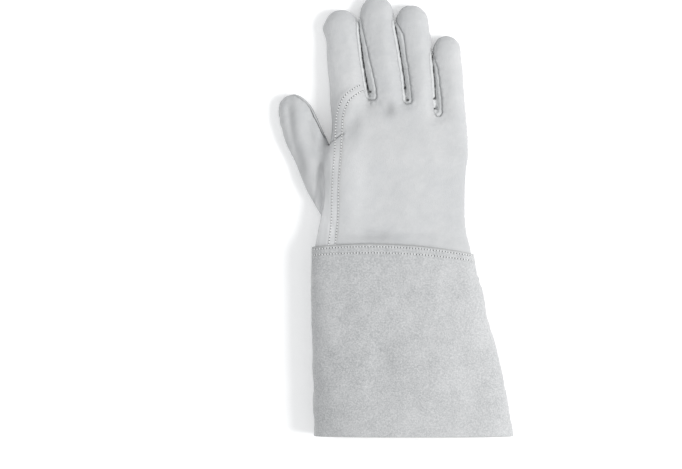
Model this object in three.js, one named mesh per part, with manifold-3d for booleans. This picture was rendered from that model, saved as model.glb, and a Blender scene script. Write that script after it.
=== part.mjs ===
// A right-hand TIG welding glove, lying palm down on a table, in millimetres.
// Fingers point along +Y, the thumb side is -X, and the back of the hand faces +Z.
// The glove is sewn from cut leather panels. Each panel is one solid, and neighbours
// stand a hair apart along their seams.
import * as THREE from "three";
import { mergeVertices } from "three/addons/utils/BufferGeometryUtils.js";
import Module from "manifold-3d";

const wasm = await Module();
wasm.setup();

// Driving sizes.
const LEATHER = 1.4; // thickness of the grain leather of the hand
const SPLIT = 1.9; // thickness of the split leather of the cuff
const SEAM_GAP = 0.3; // clearance between neighbouring panels
const LAP_WIDTH = 7; // how far the double-stitched seam overlaps
const LAP_FOOT = 2.5; // where the raised lap comes down on its own panel
const LAP_END_Y = -23.1; // where the raised lap stops, just before the cuff's edge
const MOUTH_Y = -175.6; // the cuff's open end
const FINGER_SEAM_Z = 9; // height of the seam round the fingertips and the little finger
const FRONT_SEAM_Z = 4.2; // height where a finger's front meets the strip beside it
const FORK_HALF = 4; // half the width of a strip's turn at the fork
const FORK_TOP_Z = 18.5; // the turn of a strip at the fork ends below this height
const THUMB_SEAM_Z = 8.5; // height of the seam round the thumb
const FLATTENED = 1.07; // how far the leather below would swell if it didn't rest on a table
const FREE = 90; // far enough to reach past the glove
const SIDES = { hand: 36, handInside: 28, finger: 18, fingerInside: 14, cuff: 40, cuffInside: 32 };

// Outline of the hand and the three lines between its fingers, as x at each y.
const fingerLines = [
  { y: 44, left: -51.5, indexMiddle: -17.0, middleRing: 11.6, ringLittle: 33.6, right: 56.3 },
  { y: 60, left: -51.0, indexMiddle: -17.6, middleRing: 11.2, ringLittle: 33.2, right: 58.0 },
  { y: 76, left: -51.5, indexMiddle: -18.8, middleRing: 10.4, ringLittle: 32.8, right: 56.8 },
  { y: 92, left: -52.6, indexMiddle: -20.6, middleRing: 8.3, ringLittle: 31.9, right: 55.0 },
  { y: 108, left: -53.7, indexMiddle: -23.5, middleRing: 6.9, ringLittle: 31.0, right: 54.1 },
  { y: 124, left: -54.8, indexMiddle: -26.1, middleRing: 4.6, ringLittle: 29.5, right: 52.9 },
  { y: 140, left: -56.2, indexMiddle: -28.1, middleRing: 1.9, ringLittle: 28.3, right: 51.4 },
  { y: 150, left: -57.6, indexMiddle: -29.3, middleRing: -0.1, ringLittle: 26.8, right: 50 },
  { y: 160, left: -58.4, indexMiddle: -29.6, middleRing: -1.9, ringLittle: 25.2, right: 49 },
];

// Each finger runs between two of those lines. The tip is a dome that starts at domeY.
const fingers = [
  { name: "index", left: "left", right: "indexMiddle", rootY: 42, domeY: 149, tipY: 165.8 },
  { name: "middle", left: "indexMiddle", right: "middleRing", rootY: 56, domeY: 158.5, tipY: 175.8 },
  { name: "ring", left: "middleRing", right: "ringLittle", rootY: 54, domeY: 153, tipY: 169 },
  { name: "little", left: "ringLittle", right: "right", rootY: 38, domeY: 129.5, tipY: 144.3 },
];
// How high each finger stands off the table at its root and where its tip begins.
const fingerHeights = {
  index: { root: 28, tip: 18.5 },
  middle: { root: 28.5, tip: 18.5 },
  ring: { root: 27.5, tip: 18 },
  little: { root: 25.5, tip: 17 },
};
const FINGER_STATIONS = 6; // cross-sections along a finger before its dome
const FINGER_EASE = 1.35; // they crowd towards the root, where the finger rises into the hand
const ROOT_BURIED = 5; // a finger's first section starts this far out of sight inside the hand

// Cross-sections of the hand from inside the cuff to the roots of the fingers.
// slant tips a section in plan, and bow draws its two sides back.
const handSections = [
  { y: -37, left: -64.9, right: 60.2, bottom: 2.5, top: 37.0, slant: -0.04, bow: 0 },
  { y: -25, left: -64.6, right: 59.8, bottom: 2.3, top: 36.2, slant: -0.04, bow: 0 },
  { y: -13, left: -62.3, right: 56.6, bottom: 1.2, top: 33.6, slant: -0.03, bow: 0 },
  { y: 0, left: -60.0, right: 54.8, bottom: 0.4, top: 32.2, slant: -0.02, bow: 0 },
  { y: 14, left: -58.6, right: 54.8, bottom: 0, top: 32.6, slant: 0, bow: 0 },
  { y: 32, left: -59.9, right: 55.8, bottom: 0, top: 33.8, slant: 0, bow: 0 },
  { y: 46, left: -57.4, right: 56.6, bottom: 0, top: 33.6, slant: -0.04, bow: 2 },
  { y: 58, left: -52.4, right: 58.0, bottom: 0, top: 32.2, slant: -0.08, bow: 6 },
  { y: 70, left: -51.4, right: 57.4, bottom: 0, top: 30.0, slant: -0.12, bow: 12 },
  { y: 81, left: -51.8, right: 56.6, bottom: 0, top: 27.2, slant: -0.16, bow: 18 },
];
const HAND_END = { rise: 10.5, dome: 0.82 }; // the rounded end between the roots of the fingers
const HAND_WIDEST = 0.56; // the hand is widest at this share of its height

// The thumb runs straight from the heel of the hand, turned towards the thumb side.
const THUMB_TURN = THREE.MathUtils.degToRad(23);
const thumbSections = [
  { along: 4, left: -51.5, right: -29, bottom: 0, top: 15.5 },
  { along: 24, left: -55.2, right: -27, bottom: 0, top: 17.6 },
  { along: 44, left: -57.4, right: -26.6, bottom: 0, top: 18.6 },
  { along: 66, left: -57.8, right: -26.8, bottom: 0, top: 19.2 },
  { along: 86, left: -57.6, right: -27.2, bottom: 0, top: 19.4 },
  { along: 101, left: -56.6, right: -27.4, bottom: 0, top: 18.6 },
];
const THUMB_TIP = 122.8;

// Cross-sections of the cuff. The top edge bows up in the middle and falls to the little finger's side.
const cuffSections = [
  { y: -23.2, left: -67.2, right: 62.4, bottom: 0, top: 39.6, slant: -0.044, bow: 4.8 },
  { y: -42, left: -67.4, right: 65.0, bottom: 0, top: 41.0, slant: -0.02, bow: 2.5 },
  { y: -64, left: -67.2, right: 69.2, bottom: 0, top: 43.0, slant: 0, bow: 0 },
  { y: -92, left: -67.0, right: 76.4, bottom: 0, top: 45.2, slant: 0, bow: 0 },
  { y: -120, left: -66.8, right: 83.2, bottom: 0, top: 46.6, slant: 0, bow: 0 },
  { y: -148, left: -66.5, right: 89.2, bottom: 0, top: 47.4, slant: 0, bow: 0 },
  { y: MOUTH_Y, left: -66.2, right: 94.3, bottom: 0, top: 47.6, slant: 0, bow: 0 },
];

// Soft dents and swells of the upper side: a rounded patch at x, y that is turned by angle.
const folds = [
  { x: -8, y: 74, angle: 20, length: 16, width: 10, lift: -1.6 }, // dent below the first slot
  { x: -26, y: -4, angle: 82, length: 34, width: 7, lift: -1.3 }, // crease above the cuff
  { x: 18, y: 22, angle: 70, length: 40, width: 16, lift: 1.0 }, // swell of the back
  { x: 30, y: -92, angle: 4, length: 62, width: 20, lift: 1.8 }, // long swell of the cuff
  { x: -12, y: -120, angle: -4, length: 54, width: 18, lift: -2.4 }, // long hollow of the cuff
  { x: -78, y: 62, angle: 24, length: 40, width: 4.5, lift: -1.3 }, // crease along the thumb
  { x: -60, y: 52, angle: 14, length: 22, width: 4, lift: -1.0 }, // crease at the thumb's root
];

// Seam lines in plan.
const lapEdge = [
  { x: -48.6, y: -60 },
  { x: -48.0, y: -25 },
  { x: -46.0, y: -7 },
  { x: -44.8, y: 29 },
  { x: -43.0, y: 53 },
  { x: -42.2, y: 69 },
  { x: -41.0, y: 83 },
  { x: -36.4, y: 92.6 },
  { x: -29.5, y: 98 },
  { x: -22.4, y: 101.4 },
];
const INDEX_PANEL_START = { x: -43.2, y: 65 }; // where the index finger's wrap meets the thumb panel
const WEB = { x: -53.2, y: 56.6 }; // the fork between thumb and hand
const thumbHeelSeam = [
  { x: -30.5, y: -70 },
  { x: -30.5, y: -24 },
  { x: -34.0, y: -7 },
  { x: -44.5, y: 10 },
  { x: -60.0, y: 24 },
  { x: -84.0, y: 38 },
];
// The strip between two fingers: its seams lie this far to each side of the line between them.
const slots = [
  {
    name: "fourchette_index_middle",
    line: "indexMiddle",
    forkY: 77.5,
    strip: [
      { y: 88.2, leftward: 1.6, rightward: 3.4 },
      { y: 92.5, leftward: 2.3, rightward: 5.4 },
      { y: 112, leftward: 2.4, rightward: 5.6 },
      { y: 130, leftward: 2.4, rightward: 4.3 },
      { y: 150, leftward: 2.2, rightward: 2.6 },
      { y: 157, leftward: 1.6, rightward: 1.8 },
    ],
  },
  {
    name: "fourchette_middle_ring",
    line: "middleRing",
    forkY: 73.5,
    strip: [
      { y: 86, leftward: 1.6, rightward: 3.4 },
      { y: 90, leftward: 2.3, rightward: 5.0 },
      { y: 112, leftward: 2.4, rightward: 4.3 },
      { y: 130, leftward: 2.4, rightward: 3.9 },
      { y: 147, leftward: 2.2, rightward: 4.2 },
      { y: 157, leftward: 1.6, rightward: 1.8 },
    ],
  },
  {
    name: "fourchette_ring_little",
    line: "ringLittle",
    forkY: 64,
    strip: [
      { y: 76.4, leftward: 1.6, rightward: 3.6 },
      { y: 82, leftward: 2.3, rightward: 5.4 },
      { y: 104, leftward: 2.3, rightward: 4.0 },
      { y: 117, leftward: 2.2, rightward: 3.1 },
      { y: 130, leftward: 1.6, rightward: 2.0 },
    ],
  },
];
// The seam across the base of the two middle fingers' fronts.
const frontBase = [
  { x: -19.6, y: 86.4 },
  { x: -5, y: 82.6 },
  { x: 9.2, y: 84.6 },
  { x: 21, y: 78.6 },
  { x: 32.8, y: 75.2 },
];

// A value of one column of a table at a place between its rows, on a smooth curve.
function tableValue(rows, key, at, column) {
  const last = rows.length - 1;
  let i = 0;
  while (i < last - 1 && at > rows[i + 1][key]) {
    i += 1;
  }
  const near = [i - 1, i, i + 1, i + 2];
  const [before, from, to, after] = near.map((k) => rows[Math.min(last, Math.max(0, k))]);
  const span = to[key] - from[key];
  const t = (at - from[key]) / span;
  const rise = (a, b) => (b === a ? 0 : (b[column] - a[column]) / (b[key] - a[key]));
  const startSlope = rise(before, to) * span;
  const endSlope = rise(from, after) * span;
  const [t2, t3] = [t * t, t * t * t];
  return (
    (2 * t3 - 3 * t2 + 1) * from[column] +
    (t3 - 2 * t2 + t) * startSlope +
    (3 * t2 - 2 * t3) * to[column] +
    (t3 - t2) * endSlope
  );
}

// How far the soft dents move a point of the upper side.
function foldLift(x, y) {
  let sum = 0;
  for (const fold of folds) {
    const turn = THREE.MathUtils.degToRad(fold.angle);
    const dx = x - fold.x;
    const dy = y - fold.y;
    const along = (-dx * Math.sin(turn) + dy * Math.cos(turn)) / fold.length;
    const across = (dx * Math.cos(turn) + dy * Math.sin(turn)) / fold.width;
    sum += fold.lift * Math.exp(-2 * (along * along + across * across));
  }
  return sum;
}

const signedPower = (value, power) => Math.sign(value) * Math.abs(value) ** power;

// One ring of points: flat below, rounder above. grow moves it outwards along its normal.
function ring(section, grow, sides) {
  const { left, right, bottom, top, widest = 0.45, slant = 0, bow = 0, crown = 2.3, sole = 3.4 } = section;
  const middle = (left + right) / 2;
  const half = (right - left) / 2;
  const waist = bottom + widest * (top - bottom);
  const points = [];
  for (let k = 0; k < sides; k += 1) {
    const angle = (2 * Math.PI * k) / sides;
    const upper = Math.sin(angle) >= 0;
    const power = 2 / (upper ? crown : sole);
    const across = signedPower(Math.cos(angle), power);
    const up = signedPower(Math.sin(angle), power);
    const x = middle + (half + grow) * across;
    const y = section.y + slant * (x - middle) - bow * across * across;
    const height = upper ? top - waist + grow : waist - bottom + grow;
    const lift = upper ? foldLift(x, y) * up : 0;
    // The lower side swells a little past the table and is pressed flat against it.
    const press = upper ? up : Math.max(-1, up * FLATTENED);
    points.push(new THREE.Vector3(x, y, waist + height * press + lift));
  }
  return points;
}

// The rings of a dome that closes a tube at its tip.
function domeSections(section, rise, steps, squareness) {
  const rows = [];
  const { left, right, bottom, top, widest = 0.45 } = section;
  const middle = (left + right) / 2;
  const waist = bottom + widest * (top - bottom);
  for (let k = 1; k <= steps; k += 1) {
    const angle = ((k / steps) * Math.PI) / 2;
    const shrink = Math.max(0.12, Math.cos(angle) ** squareness);
    rows.push({
      ...section,
      y: section.y + rise * Math.sin(angle),
      left: middle + (left - middle) * shrink,
      right: middle + (right - middle) * shrink,
      bottom: waist - (waist - bottom) * shrink,
      top: waist + (top - waist) * shrink,
      bow: (section.bow ?? 0) * (1 - 0.25 * (k / steps)),
    });
  }
  return rows;
}

// Joins rings into one closed skin, with a flat fan over each end.
function skin(rings) {
  const sides = rings[0].length;
  const positions = rings.flat().flatMap((p) => [p.x, p.y, p.z]);
  const faces = [];
  for (let r = 0; r + 1 < rings.length; r += 1) {
    for (let k = 0; k < sides; k += 1) {
      const [a, b] = [r * sides + k, r * sides + ((k + 1) % sides)];
      const [c, d] = [a + sides, b + sides];
      faces.push(a, d, b, a, c, d);
    }
  }
  for (const [start, ends] of [
    [0, rings[0]],
    [(rings.length - 1) * sides, rings.at(-1)],
  ]) {
    const centre = ends.reduce((sum, p) => sum.add(p), new THREE.Vector3()).divideScalar(sides);
    const hub = positions.length / 3;
    positions.push(centre.x, centre.y, centre.z);
    for (let k = 0; k < sides; k += 1) {
      const [a, b] = [start + k, start + ((k + 1) % sides)];
      faces.push(...(start === 0 ? [hub, a, b] : [hub, b, a]));
    }
  }
  const geometry = new THREE.BufferGeometry();
  geometry.setAttribute("position", new THREE.Float32BufferAttribute(positions, 3));
  geometry.setIndex(faces);
  return geometry;
}

// A geometry as a solid that can be cut and joined.
function solid(geometry) {
  const bare = geometry.clone();
  bare.deleteAttribute("normal");
  bare.deleteAttribute("uv");
  const merged = mergeVertices(bare, 1e-4);
  const made = new wasm.Manifold(
    new wasm.Mesh({
      numProp: 3,
      vertProperties: new Float32Array(merged.attributes.position.array),
      triVerts: new Uint32Array(merged.index.array),
    }),
  );
  return made;
}

// One finger from inside the hand to its tip.
function fingerTube(finger, grow, sides = grow < 0 ? SIDES.fingerInside : SIDES.finger) {
  const heights = fingerHeights[finger.name];
  const sections = [];
  for (let k = 0; k < FINGER_STATIONS; k += 1) {
    const share = k / (FINGER_STATIONS - 1);
    const y = finger.rootY + (finger.domeY - finger.rootY) * share ** FINGER_EASE;
    const gap = SEAM_GAP / 2 + 0.05;
    const buried = k === 0 ? ROOT_BURIED : 0;
    const inset = (side) => buried + (side === "left" || side === "right" ? 0 : gap);
    const top = heights.tip + (heights.root - heights.tip) * Math.cos((share * Math.PI) / 2);
    sections.push({
      y,
      left: tableValue(fingerLines, "y", y, finger.left) + inset(finger.left),
      right: tableValue(fingerLines, "y", y, finger.right) - inset(finger.right),
      bottom: buried / 2,
      top: top - buried,
    });
  }
  const last = sections.at(-1);
  const tip = domeSections(last, finger.tipY + grow - last.y, 4, 0.85);
  return solid(skin([...sections, ...tip].map((s) => ring(s, grow, sides))));
}

// The hand from inside the cuff to the roots of the fingers.
function handTube(grow, openEnd, sides = grow < 0 ? SIDES.handInside : SIDES.hand) {
  const rows = handSections.map((row) => ({ ...row, widest: HAND_WIDEST, crown: 2.6, sole: 4 }));
  if (openEnd) {
    rows.unshift({ ...rows[0], y: rows[0].y - 10 });
  }
  const last = rows.at(-1);
  const end = domeSections(last, HAND_END.rise + grow, 4, HAND_END.dome);
  return solid(skin([...rows, ...end].map((s) => ring(s, grow, sides))));
}

function thumbTube(grow, sides = grow < 0 ? SIDES.fingerInside : SIDES.finger) {
  const rows = thumbSections.map((row) => ({ ...row, y: row.along }));
  const last = rows.at(-1);
  const tip = domeSections(last, THUMB_TIP + grow - last.y, 4, 0.85);
  // The thumb is laid out straight along its own length and then turned about the hand's origin.
  const rings = [...rows, ...tip].map((s) =>
    ring(s, grow, sides).map((p) => {
      const turned = p.applyAxisAngle(new THREE.Vector3(0, 0, 1), THUMB_TURN);
      if (turned.z > FINGER_SEAM_Z) {
        turned.z += foldLift(turned.x, turned.y);
      }
      return turned;
    }),
  );
  return solid(skin(rings));
}

// The whole hand as one filled body, grown outwards by a distance.
function handBody(grow, openEnd = false) {
  let body = handTube(grow, openEnd).add(thumbTube(grow));
  for (const finger of fingers) {
    body = body.add(fingerTube(finger, grow));
  }
  return body;
}

// A flat outline, given as points in plan, raised between two heights.
function prism(points, low, high) {
  const shape = new THREE.Shape(points.map((p) => new THREE.Vector2(p.x, p.y)));
  const geometry = new THREE.ExtrudeGeometry(shape, { depth: high - low, bevelEnabled: false });
  return solid(geometry.translate(0, 0, low));
}

// Points along a smooth line through a table of places.
function smoothLine(places, count) {
  const curve = new THREE.SplineCurve(places.map((p) => new THREE.Vector2(p.x, p.y)));
  return curve.getPoints(count);
}

// The same line moved sideways: positive is to the left of its direction.
function beside(points, distance) {
  return points.map((p, i) => {
    const from = points[Math.max(0, i - 1)];
    const to = points[Math.min(points.length - 1, i + 1)];
    const along = new THREE.Vector2().subVectors(to, from).normalize();
    return new THREE.Vector2(p.x - along.y * distance, p.y + along.x * distance);
  });
}

// A thin upright cut along a line: it opens the seam gap between two panels.
function seamCut(points, low = -5, high = FREE) {
  return prism([...beside(points, SEAM_GAP / 2), ...beside(points, -SEAM_GAP / 2).reverse()], low, high);
}

const plan = (x, y) => new THREE.Vector2(x, y);

const outer = handBody(0);
const inner = handBody(-LEATHER, true);
let leather = outer.subtract(inner);

// Takes the part of the leather inside a region as one panel, and leaves the rest.
function take(region) {
  const panel = leather.intersect(region);
  leather = leather.subtract(region);
  return panel;
}

const panels = {};

// The strips between the fingers: each lines both sides of its slot and turns at the fork.
// An outline of a strip in plan, made wider on every side by a clearance.
function stripOutline(slot, clearance) {
  const line = (y) => tableValue(fingerLines, "y", y, slot.line);
  const tip = slot.strip.at(-1);
  const leftSide = slot.strip.map((row) => plan(line(row.y) - row.leftward - clearance, row.y));
  const rightSide = slot.strip.map((row) => plan(line(row.y) + row.rightward + clearance, row.y));
  leftSide[0].y -= clearance;
  rightSide[0].y -= clearance;
  return [...leftSide, plan(line(tip.y), tip.y + 3 + clearance), ...rightSide.reverse()];
}
// The turn at the fork lies below the leather of the back.
function stripRegion(slot, clearance) {
  const x = tableValue(fingerLines, "y", slot.forkY, slot.line);
  const [left, right] = [x - FORK_HALF - clearance, x + FORK_HALF + clearance];
  const [low, high] = [slot.forkY - clearance, slot.strip[0].y + 1];
  const fork = prism(
    [plan(left, low), plan(right, low), plan(right, high), plan(left, high)],
    FRONT_SEAM_Z + SEAM_GAP - clearance,
    FORK_TOP_Z + clearance,
  );
  return prism(stripOutline(slot, clearance), FRONT_SEAM_Z + SEAM_GAP - clearance, FREE).add(fork);
}
for (const slot of slots) {
  panels[slot.name] = take(stripRegion(slot, 0));
  leather = leather.subtract(stripRegion(slot, SEAM_GAP));
}

// The low seam runs round the fingertips and climbs along the little finger's side of the hand.
const lowSeam = [
  plan(-90, 16),
  plan(0, 15.5),
  plan(50, 13.5),
  plan(88, FINGER_SEAM_Z),
  plan(190, FINGER_SEAM_Z),
];
// A body between the low seam and a height above it, drawn in y and z and run along x.
function overLowSeam(fromX, toX, rise) {
  const below = lowSeam.map((p) => p.clone());
  const above = lowSeam.map((p) => plan(p.x, p.y + rise)).reverse();
  const shape = new THREE.Shape([...below, ...above]);
  const geometry = new THREE.ExtrudeGeometry(shape, { depth: toX - fromX, bevelEnabled: false });
  const upright = new THREE.Matrix4().set(0, 0, 1, fromX, 1, 0, 0, 0, 0, 1, 0, 0, 0, 0, 0, 1);
  return solid(geometry.applyMatrix4(upright));
}

const gapPoints = (line, fromY, toY, count = 8) =>
  Array.from({ length: count + 1 }, (_, k) => {
    const y = fromY + ((toY - fromY) * k) / count;
    return new THREE.Vector2(tableValue(fingerLines, "y", y, line), y);
  });

// Fronts of the two middle fingers, below the strips and the low seam.
const baseLine = smoothLine(frontBase, 16);
const middleSplit = baseLine.findIndex((p) => p.x >= frontBase[2].x);
const indexSide = gapPoints("indexMiddle", frontBase[0].y, 180);
const indexCut = [plan(indexSide[0].x, indexSide[0].y - 0.1), ...indexSide];
const ringSide = gapPoints("middleRing", frontBase[2].y, 180);
const littleSide = gapPoints("ringLittle", frontBase[4].y, 180);
leather = leather
  .subtract(overLowSeam(-30, FREE, SEAM_GAP))
  .subtract(seamCut(baseLine, -5, FINGER_SEAM_Z))
  .subtract(seamCut(indexCut, -5, FINGER_SEAM_Z))
  .subtract(seamCut(ringSide, -5, FINGER_SEAM_Z))
  .subtract(seamCut(littleSide, -5, FINGER_SEAM_Z));
// A finger's front lies between its two sides and above its share of the base seam.
function takeFront(from, to, base) {
  return take(prism([...base, ...to.slice(1), ...from.slice(1).reverse()], -5, FINGER_SEAM_Z));
}
panels.middle_finger_front = takeFront(indexSide, ringSide, baseLine.slice(0, middleSplit + 1));
panels.ring_finger_front = takeFront(ringSide, littleSide, baseLine.slice(middleSplit));

// The thumb panel: the thumb's upper half, the strip up to the lap, and round the heel to the palm seam.
const lapLine = smoothLine(lapEdge, 26);
const lapInner = beside(lapLine, LAP_WIDTH);
const wrapStart = plan(INDEX_PANEL_START.x, INDEX_PANEL_START.y);
const web = plan(WEB.x, WEB.y);
const forkOut = plan(WEB.x - 1, WEB.y + 9);
const wrapSeam = [plan(-10, 93), wrapStart, web, forkOut];
const heelLine = smoothLine(thumbHeelSeam, 14);
const thumbZ = THUMB_SEAM_Z + SEAM_GAP / 2;
const farLeft = [plan(-60, 130), plan(-120, 130), plan(-120, -80)];
const lapStart = plan(lapInner[0].x, -80);
const leftOfLap = prism([...lapInner, plan(-26, 130), ...farLeft.slice(1), lapStart], thumbZ, FREE);
const belowWrap = prism([...wrapSeam, ...farLeft, plan(-10, -80)], thumbZ, FREE);
const thumbHeel = prism([...heelLine, plan(-120, 38), plan(-120, -70)], -5, thumbZ);
const thumbSlabLine = [plan(-66, 24), plan(-52, 44), web, forkOut, ...farLeft.slice(0, 2), plan(-120, 20)];
leather = leather
  .subtract(seamCut(lapInner, HAND_WIDEST * 30, FREE))
  .subtract(seamCut(wrapSeam, THUMB_SEAM_Z, FREE).intersect(leftOfLap))
  .subtract(seamCut(heelLine, -5, thumbZ))
  .subtract(prism(thumbSlabLine, THUMB_SEAM_Z - SEAM_GAP / 2, thumbZ));
panels.thumb_panel = take(leftOfLap.intersect(belowWrap).add(thumbHeel));

// The back: everything above the low seam, right of the lap and of the first gap.
const firstGap = gapPoints("indexMiddle", 84, 185);
const lapPart = lapInner.filter((p) => p.x < -27.5);
const gapPart = firstGap.filter((p) => p.y > 108);
const backOutline = [...lapPart, ...gapPart, plan(FREE, 185), plan(FREE, -80), lapStart];
panels.back_panel = take(prism(backOutline, FINGER_SEAM_Z, FREE).intersect(overLowSeam(-80, FREE, FREE)));

// What is left is the palm with the index finger's wrap and the fronts of the thumb and little finger.
panels.palm_panel = leather;

// The raised lap of the double-stitched seam: it lies on the back panel and comes down on its own panel.
const lapOver = handBody(SEAM_GAP + LEATHER);
const lapLayer = lapOver.subtract(handBody(SEAM_GAP)).subtract(outer);
const lapRoot = lapOver.subtract(handBody(-LEATHER / 2));
const lapBand = (from, to) => prism([...beside(lapLine, from), ...beside(lapLine, to).reverse()], 18, FREE);
const belowFork = prism([plan(-80, -80), plan(-29, -80), plan(-29, 130), plan(-80, 130)], 18, FREE);
const aboveCuff = prism([plan(-80, LAP_END_Y), plan(0, LAP_END_Y), plan(0, 130), plan(-80, 130)], 18, FREE);
const lap = lapLayer
  .intersect(lapBand(0, LAP_WIDTH + LAP_FOOT))
  .add(lapRoot.intersect(lapBand(LAP_WIDTH + SEAM_GAP, LAP_WIDTH + LAP_FOOT)).intersect(belowFork))
  .intersect(aboveCuff);
const wrapLine = seamCut(wrapSeam, THUMB_SEAM_Z, FREE);
const lapOfWrap = prism([...wrapSeam.slice(0, 3), plan(-80, 56), plan(-80, 160), plan(-10, 160)], 15, FREE);
panels.palm_panel = panels.palm_panel.add(lap.intersect(lapOfWrap).subtract(wrapLine));
panels.thumb_panel = panels.thumb_panel.add(lap.subtract(lapOfWrap).subtract(wrapLine));

// The cuff: a flared tube of split leather, open at both ends, lapped over the hand's end.
function cuffTube(grow, reach, sides) {
  const rows = cuffSections.map((row) => {
    // Near the hand the cuff keeps the hand's cross-section, and it grows rounder towards its mouth.
    const share = THREE.MathUtils.smoothstep(-row.y, 40, 110);
    return { ...row, widest: HAND_WIDEST - 0.12 * share, crown: 2.6 - 0.2 * share, sole: 4 };
  });
  const [first, last] = [rows[0], rows.at(-1)];
  if (reach > 0) {
    rows.unshift({ ...first, y: first.y + reach });
    rows.push({ ...last, y: last.y - reach });
  }
  return solid(skin(rows.reverse().map((s) => ring(s, grow, sides))));
}
panels.cuff = cuffTube(0, 0, SIDES.cuff).subtract(cuffTube(-SPLIT, 8, SIDES.cuffInside));

// A panel as a named mesh. Crumbs that the cuts leave behind are dropped.
function asMesh(name, panel, material) {
  const bodies = panel.decompose().sort((a, b) => b.volume() - a.volume());
  const { vertProperties, triVerts } = bodies[0].getMesh();
  const geometry = new THREE.BufferGeometry();
  geometry.setAttribute("position", new THREE.BufferAttribute(new Float32Array(vertProperties), 3));
  geometry.setIndex([...triVerts]);
  geometry.computeVertexNormals();
  const mesh = new THREE.Mesh(geometry, material);
  mesh.name = name;
  return mesh;
}

const grain = () => new THREE.MeshStandardMaterial({ color: 0xd6d6d4, roughness: 0.6, metalness: 0 });
const suede = () => new THREE.MeshStandardMaterial({ color: 0xbdbbb8, roughness: 0.95, metalness: 0 });
const root = new THREE.Group();
root.name = "tig_welding_glove";
for (const [name, panel] of Object.entries(panels)) {
  root.add(asMesh(name, panel, name === "cuff" ? suede() : grain()));
}

export default root;
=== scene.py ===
import math

import bpy
import numpy as np
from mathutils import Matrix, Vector
from mathutils.bvhtree import BVHTree
from mathutils.kdtree import KDTree


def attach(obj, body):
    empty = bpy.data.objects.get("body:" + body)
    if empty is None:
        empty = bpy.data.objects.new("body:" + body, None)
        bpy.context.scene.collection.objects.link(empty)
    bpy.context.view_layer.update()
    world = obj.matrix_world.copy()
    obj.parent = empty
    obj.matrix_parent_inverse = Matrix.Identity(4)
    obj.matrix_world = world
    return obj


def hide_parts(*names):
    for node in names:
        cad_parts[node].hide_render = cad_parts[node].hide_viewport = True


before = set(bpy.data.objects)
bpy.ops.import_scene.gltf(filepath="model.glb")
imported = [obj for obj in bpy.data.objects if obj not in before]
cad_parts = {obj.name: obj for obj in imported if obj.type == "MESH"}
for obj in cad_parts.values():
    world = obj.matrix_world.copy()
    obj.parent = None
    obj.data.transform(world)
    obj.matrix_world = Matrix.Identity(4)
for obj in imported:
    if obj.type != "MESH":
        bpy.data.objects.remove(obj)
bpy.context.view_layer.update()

mm = 0.001  # the tables below are in millimetres, the scene is in metres

# The glove's outline and sections. These repeat the sizes that the solids were made from.
form = {
    "fineness": 0.95,  # size of the mesh faces that the leather is drawn with
    # How far up a section is widest, how square it is above and below, and points round it
    "handSection": (0.56, 2.6, 4.0, 160),
    "limbSection": (0.45, 2.3, 3.4, 72),
    "thumbTurn": math.radians(23),
    # y, left edge, index to middle, middle to ring, ring to little, right edge
    "fingerLines": [
        (30, -51.5, -16.4, 12.0, 34.0, 55.6), (44, -51.5, -17.0, 11.6, 33.6, 56.3),
        (60, -51.0, -17.6, 11.2, 33.2, 58.0), (76, -51.5, -18.8, 10.4, 32.8, 56.8),
        (92, -52.6, -20.6, 8.3, 31.9, 55.0), (108, -53.7, -23.5, 6.9, 31.0, 54.1),
        (124, -54.8, -26.1, 4.6, 29.5, 52.9), (140, -56.2, -28.1, 1.9, 28.3, 51.4),
        (150, -57.6, -29.3, -0.1, 26.8, 50.0), (160, -58.4, -29.6, -1.9, 25.2, 49.0),
    ],
    # name, left line, right line, start, where its tip begins, its tip, heights at root and tip
    "fingers": [
        ("index", 1, 2, 42, 149, 165.8, 28.0, 18.5), ("middle", 2, 3, 56, 158.5, 175.8, 28.5, 18.5),
        ("ring", 3, 4, 54, 153, 169.0, 27.5, 18.0), ("little", 4, 5, 38, 129.5, 144.3, 25.5, 17.0),
    ],
    # Where each line's slot starts, how far fingers run into each other below it, and how far
    # they stand apart above it while the skin is drawn
    "slotStarts": {2: 93, 3: 90, 4: 80.5},
    "fingerMeet": 2.2,
    "fingerGap": 1.5,
    # y, left, right, bottom, top, slant, bow
    "hand": [
        (-37, -64.9, 60.2, 2.5, 37.0, -0.04, 0), (-25, -64.6, 59.8, 2.3, 36.2, -0.04, 0),
        (-13, -62.3, 56.6, 1.2, 33.6, -0.03, 0), (0, -60.0, 54.8, 0.4, 32.2, -0.02, 0),
        (14, -58.6, 54.8, 0.0, 32.6, 0.0, 0), (32, -59.9, 55.8, 0.0, 33.8, 0.0, 0),
        (46, -57.4, 56.6, 0.0, 33.6, -0.04, 2), (58, -52.4, 58.0, 0.0, 32.2, -0.08, 6),
        (70, -51.4, 57.4, 0.0, 30.0, -0.12, 12), (81, -51.8, 56.6, 0.0, 27.2, -0.16, 18),
    ],
    "handEnd": 10.5,  # length of the rounded end
    # along the thumb, left, right, bottom, top
    "thumb": [
        (4, -51.5, -29.0, 0, 15.5), (24, -55.2, -27.0, 0, 17.6), (44, -57.4, -26.6, 0, 18.6),
        (66, -57.8, -26.8, 0, 19.2), (86, -57.6, -27.2, 0, 19.4), (101, -56.6, -27.4, 0, 18.6),
    ],
    "thumbTip": 122.8,
}


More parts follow.
